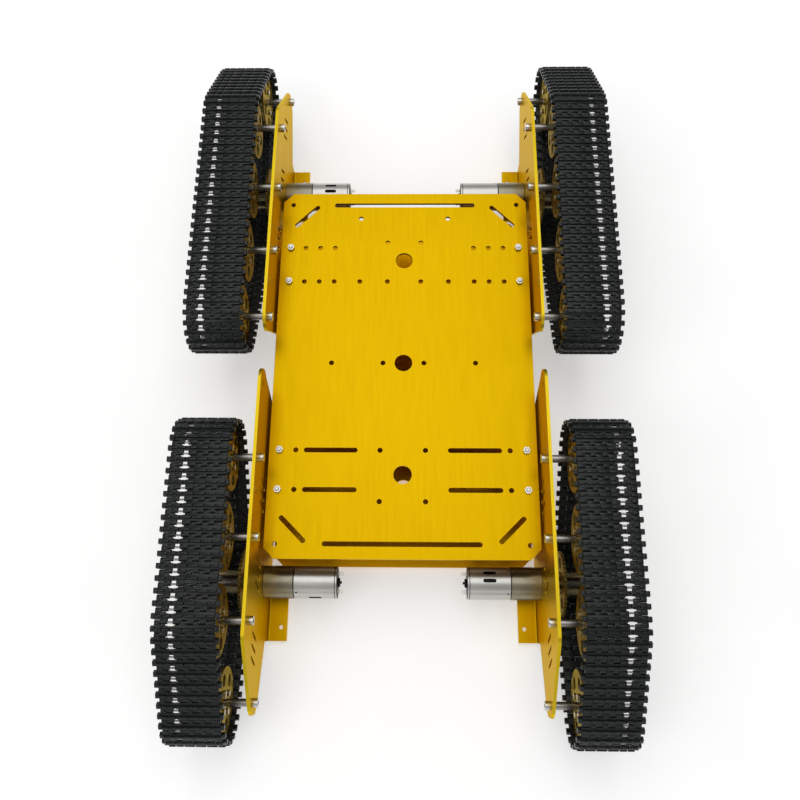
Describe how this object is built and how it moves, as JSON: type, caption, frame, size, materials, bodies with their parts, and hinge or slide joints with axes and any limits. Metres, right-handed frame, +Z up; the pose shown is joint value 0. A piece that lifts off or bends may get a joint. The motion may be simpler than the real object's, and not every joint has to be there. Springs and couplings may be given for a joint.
{
  "type": "tracked robot chassis",
  "caption": "Robot chassis with two deck plates between bent side plates; each corner carries a gearmotor, a drive wheel, idler wheels and a belt of pinned links.",
  "frame": {"origin": "centre of the upper deck's top face, on the axis of the centre hole", "axes": "+Y to the rear along the longest extent, +X to the right, +Z up as the chassis lies with its long belt runs on top"},
  "size_m": [0.345, 0.5982, 0.1209],
  "materials": {
    "gold_plate": "satin gold anodised",
    "wheel_gold": "satin gold anodised",
    "nickel_pillar": "nickel plated",
    "steel_hardware": "zinc plated",
    "steel_sleeve": "turned",
    "gearbox_steel": "satin",
    "motor_can_steel": "satin zinc",
    "terminal_brass": "tinned",
    "track_plastic": "moulded black nylon"
  },
  "bodies": {
    "chassis": {"upper_deck": "gold_plate", "lower_deck": "gold_plate", "deck_pillars": "nickel_pillar", "deck_nuts": "steel_hardware", "deck_screws": "steel_hardware", "side_plate_front_left": "gold_plate", "side_plate_front_right": "gold_plate", "side_plate_rear_left": "gold_plate", "side_plate_rear_right": "gold_plate", "track_links_front_left": "track_plastic", "track_links_front_right": "track_plastic", "track_links_rear_left": "track_plastic", "track_links_rear_right": "track_plastic", "track_pins": "steel_hardware", "gearbox_front_left": "gearbox_steel", "gearbox_front_right": "gearbox_steel", "gearbox_rear_left": "gearbox_steel", "gearbox_rear_right": "gearbox_steel", "motor_can_front_left": "motor_can_steel", "motor_can_front_right": "motor_can_steel", "motor_can_rear_left": "motor_can_steel", "motor_can_rear_right": "motor_can_steel", "motor_terminals": "terminal_brass", "motor_screws": "steel_hardware", "axle_bolts": "steel_hardware", "axle_sleeves": "steel_sleeve", "axle_nuts": "steel_hardware"},
    "drive_wheel_front_left": {"drive_wheel_front_left": "wheel_gold", "drive_hub_front_left": "steel_sleeve", "motor_shaft_front_left": "steel_hardware"},
    "idler_front_left_1": {"idler_front_left_1": "wheel_gold"},
    "idler_front_left_2": {"idler_front_left_2": "wheel_gold"},
    "idler_front_left_3": {"idler_front_left_3": "wheel_gold"},
    "idler_front_left_4": {"idler_front_left_4": "wheel_gold"},
    "drive_wheel_front_right": {"drive_wheel_front_right": "wheel_gold", "drive_hub_front_right": "steel_sleeve", "motor_shaft_front_right": "steel_hardware"},
    "idler_front_right_1": {"idler_front_right_1": "wheel_gold"},
    "idler_front_right_2": {"idler_front_right_2": "wheel_gold"},
    "idler_front_right_3": {"idler_front_right_3": "wheel_gold"},
    "idler_front_right_4": {"idler_front_right_4": "wheel_gold"},
    "drive_wheel_rear_left": {"drive_wheel_rear_left": "wheel_gold", "drive_hub_rear_left": "steel_sleeve", "motor_shaft_rear_left": "steel_hardware"},
    "idler_rear_left_0": {"idler_rear_left_0": "wheel_gold"},
    "idler_rear_left_1": {"idler_rear_left_1": "wheel_gold"},
    "idler_rear_left_2": {"idler_rear_left_2": "wheel_gold"},
    "idler_rear_left_3": {"idler_rear_left_3": "wheel_gold"},
    "idler_rear_left_4": {"idler_rear_left_4": "wheel_gold"},
    "drive_wheel_rear_right": {"drive_wheel_rear_right": "wheel_gold", "drive_hub_rear_right": "steel_sleeve", "motor_shaft_rear_right": "steel_hardware"},
    "idler_rear_right_0": {"idler_rear_right_0": "wheel_gold"},
    "idler_rear_right_1": {"idler_rear_right_1": "wheel_gold"},
    "idler_rear_right_2": {"idler_rear_right_2": "wheel_gold"},
    "idler_rear_right_3": {"idler_rear_right_3": "wheel_gold"},
    "idler_rear_right_4": {"idler_rear_right_4": "wheel_gold"}
  },
  "joints": [
    {"name": "drive_spin_front_left", "type": "hinge", "parent": "chassis", "child": "drive_wheel_front_left", "pos_m": [-0.14, -0.178, -0.029], "axis": [1, 0, 0], "continuous": true},
    {"name": "idler_spin_front_left_1", "type": "hinge", "parent": "chassis", "child": "idler_front_left_1", "pos_m": [-0.14, -0.0896, 0.03], "axis": [1, 0, 0], "continuous": true},
    {"name": "idler_spin_front_left_2", "type": "hinge", "parent": "chassis", "child": "idler_front_left_2", "pos_m": [-0.14, -0.1506, 0.03], "axis": [1, 0, 0], "continuous": true},
    {"name": "idler_spin_front_left_3", "type": "hinge", "parent": "chassis", "child": "idler_front_left_3", "pos_m": [-0.14, -0.2111, 0.03], "axis": [1, 0, 0], "continuous": true},
    {"name": "idler_spin_front_left_4", "type": "hinge", "parent": "chassis", "child": "idler_front_left_4", "pos_m": [-0.14, -0.2683, -0.0074], "axis": [1, 0, 0], "continuous": true},
    {"name": "drive_spin_front_right", "type": "hinge", "parent": "chassis", "child": "drive_wheel_front_right", "pos_m": [0.14, -0.178, -0.029], "axis": [1, 0, 0], "continuous": true},
    {"name": "idler_spin_front_right_1", "type": "hinge", "parent": "chassis", "child": "idler_front_right_1", "pos_m": [0.14, -0.0896, 0.03], "axis": [1, 0, 0], "continuous": true},
    {"name": "idler_spin_front_right_2", "type": "hinge", "parent": "chassis", "child": "idler_front_right_2", "pos_m": [0.14, -0.1506, 0.03], "axis": [1, 0, 0], "continuous": true},
    {"name": "idler_spin_front_right_3", "type": "hinge", "parent": "chassis", "child": "idler_front_right_3", "pos_m": [0.14, -0.2111, 0.03], "axis": [1, 0, 0], "continuous": true},
    {"name": "idler_spin_front_right_4", "type": "hinge", "parent": "chassis", "child": "idler_front_right_4", "pos_m": [0.14, -0.2683, -0.0074], "axis": [1, 0, 0], "continuous": true},
    {"name": "drive_spin_rear_left", "type": "hinge", "parent": "chassis", "child": "drive_wheel_rear_left", "pos_m": [-0.14, 0.178, -0.029], "axis": [1, 0, 0], "continuous": true},
    {"name": "idler_spin_rear_left_0", "type": "hinge", "parent": "chassis", "child": "idler_rear_left_0", "pos_m": [-0.14, 0.029, 0.03], "axis": [1, 0, 0], "continuous": true},
    {"name": "idler_spin_rear_left_1", "type": "hinge", "parent": "chassis", "child": "idler_rear_left_1", "pos_m": [-0.14, 0.0896, 0.03], "axis": [1, 0, 0], "continuous": true},
    {"name": "idler_spin_rear_left_2", "type": "hinge", "parent": "chassis", "child": "idler_rear_left_2", "pos_m": [-0.14, 0.1506, 0.03], "axis": [1, 0, 0], "continuous": true},
    {"name": "idler_spin_rear_left_3", "type": "hinge", "parent": "chassis", "child": "idler_rear_left_3", "pos_m": [-0.14, 0.2111, 0.03], "axis": [1, 0, 0], "continuous": true},
    {"name": "idler_spin_rear_left_4", "type": "hinge", "parent": "chassis", "child": "idler_rear_left_4", "pos_m": [-0.14, 0.2683, -0.0074], "axis": [1, 0, 0], "continuous": true},
    {"name": "drive_spin_rear_right", "type": "hinge", "parent": "chassis", "child": "drive_wheel_rear_right", "pos_m": [0.14, 0.178, -0.029], "axis": [1, 0, 0], "continuous": true},
    {"name": "idler_spin_rear_right_0", "type": "hinge", "parent": "chassis", "child": "idler_rear_right_0", "pos_m": [0.14, 0.029, 0.03], "axis": [1, 0, 0], "continuous": true},
    {"name": "idler_spin_rear_right_1", "type": "hinge", "parent": "chassis", "child": "idler_rear_right_1", "pos_m": [0.14, 0.0896, 0.03], "axis": [1, 0, 0], "continuous": true},
    {"name": "idler_spin_rear_right_2", "type": "hinge", "parent": "chassis", "child": "idler_rear_right_2", "pos_m": [0.14, 0.1506, 0.03], "axis": [1, 0, 0], "continuous": true},
    {"name": "idler_spin_rear_right_3", "type": "hinge", "parent": "chassis", "child": "idler_rear_right_3", "pos_m": [0.14, 0.2111, 0.03], "axis": [1, 0, 0], "continuous": true},
    {"name": "idler_spin_rear_right_4", "type": "hinge", "parent": "chassis", "child": "idler_rear_right_4", "pos_m": [0.14, 0.2683, -0.0074], "axis": [1, 0, 0], "continuous": true}
  ],
  "couplings": [
    {"joint": "idler_spin_front_left_1", "follows": "drive_spin_front_left", "ratio": 1},
    {"joint": "idler_spin_front_left_2", "follows": "drive_spin_front_left", "ratio": 1},
    {"joint": "idler_spin_front_left_3", "follows": "drive_spin_front_left", "ratio": 1},
    {"joint": "idler_spin_front_left_4", "follows": "drive_spin_front_left", "ratio": 1},
    {"joint": "idler_spin_front_right_1", "follows": "drive_spin_front_right", "ratio": 1},
    {"joint": "idler_spin_front_right_2", "follows": "drive_spin_front_right", "ratio": 1},
    {"joint": "idler_spin_front_right_3", "follows": "drive_spin_front_right", "ratio": 1},
    {"joint": "idler_spin_front_right_4", "follows": "drive_spin_front_right", "ratio": 1},
    {"joint": "idler_spin_rear_left_0", "follows": "drive_spin_rear_left", "ratio": 1},
    {"joint": "idler_spin_rear_left_1", "follows": "drive_spin_rear_left", "ratio": 1},
    {"joint": "idler_spin_rear_left_2", "follows": "drive_spin_rear_left", "ratio": 1},
    {"joint": "idler_spin_rear_left_3", "follows": "drive_spin_rear_left", "ratio": 1},
    {"joint": "idler_spin_rear_left_4", "follows": "drive_spin_rear_left", "ratio": 1},
    {"joint": "idler_spin_rear_right_0", "follows": "drive_spin_rear_right", "ratio": 1},
    {"joint": "idler_spin_rear_right_1", "follows": "drive_spin_rear_right", "ratio": 1},
    {"joint": "idler_spin_rear_right_2", "follows": "drive_spin_rear_right", "ratio": 1},
    {"joint": "idler_spin_rear_right_3", "follows": "drive_spin_rear_right", "ratio": 1},
    {"joint": "idler_spin_rear_right_4", "follows": "drive_spin_rear_right", "ratio": 1}
  ]
}
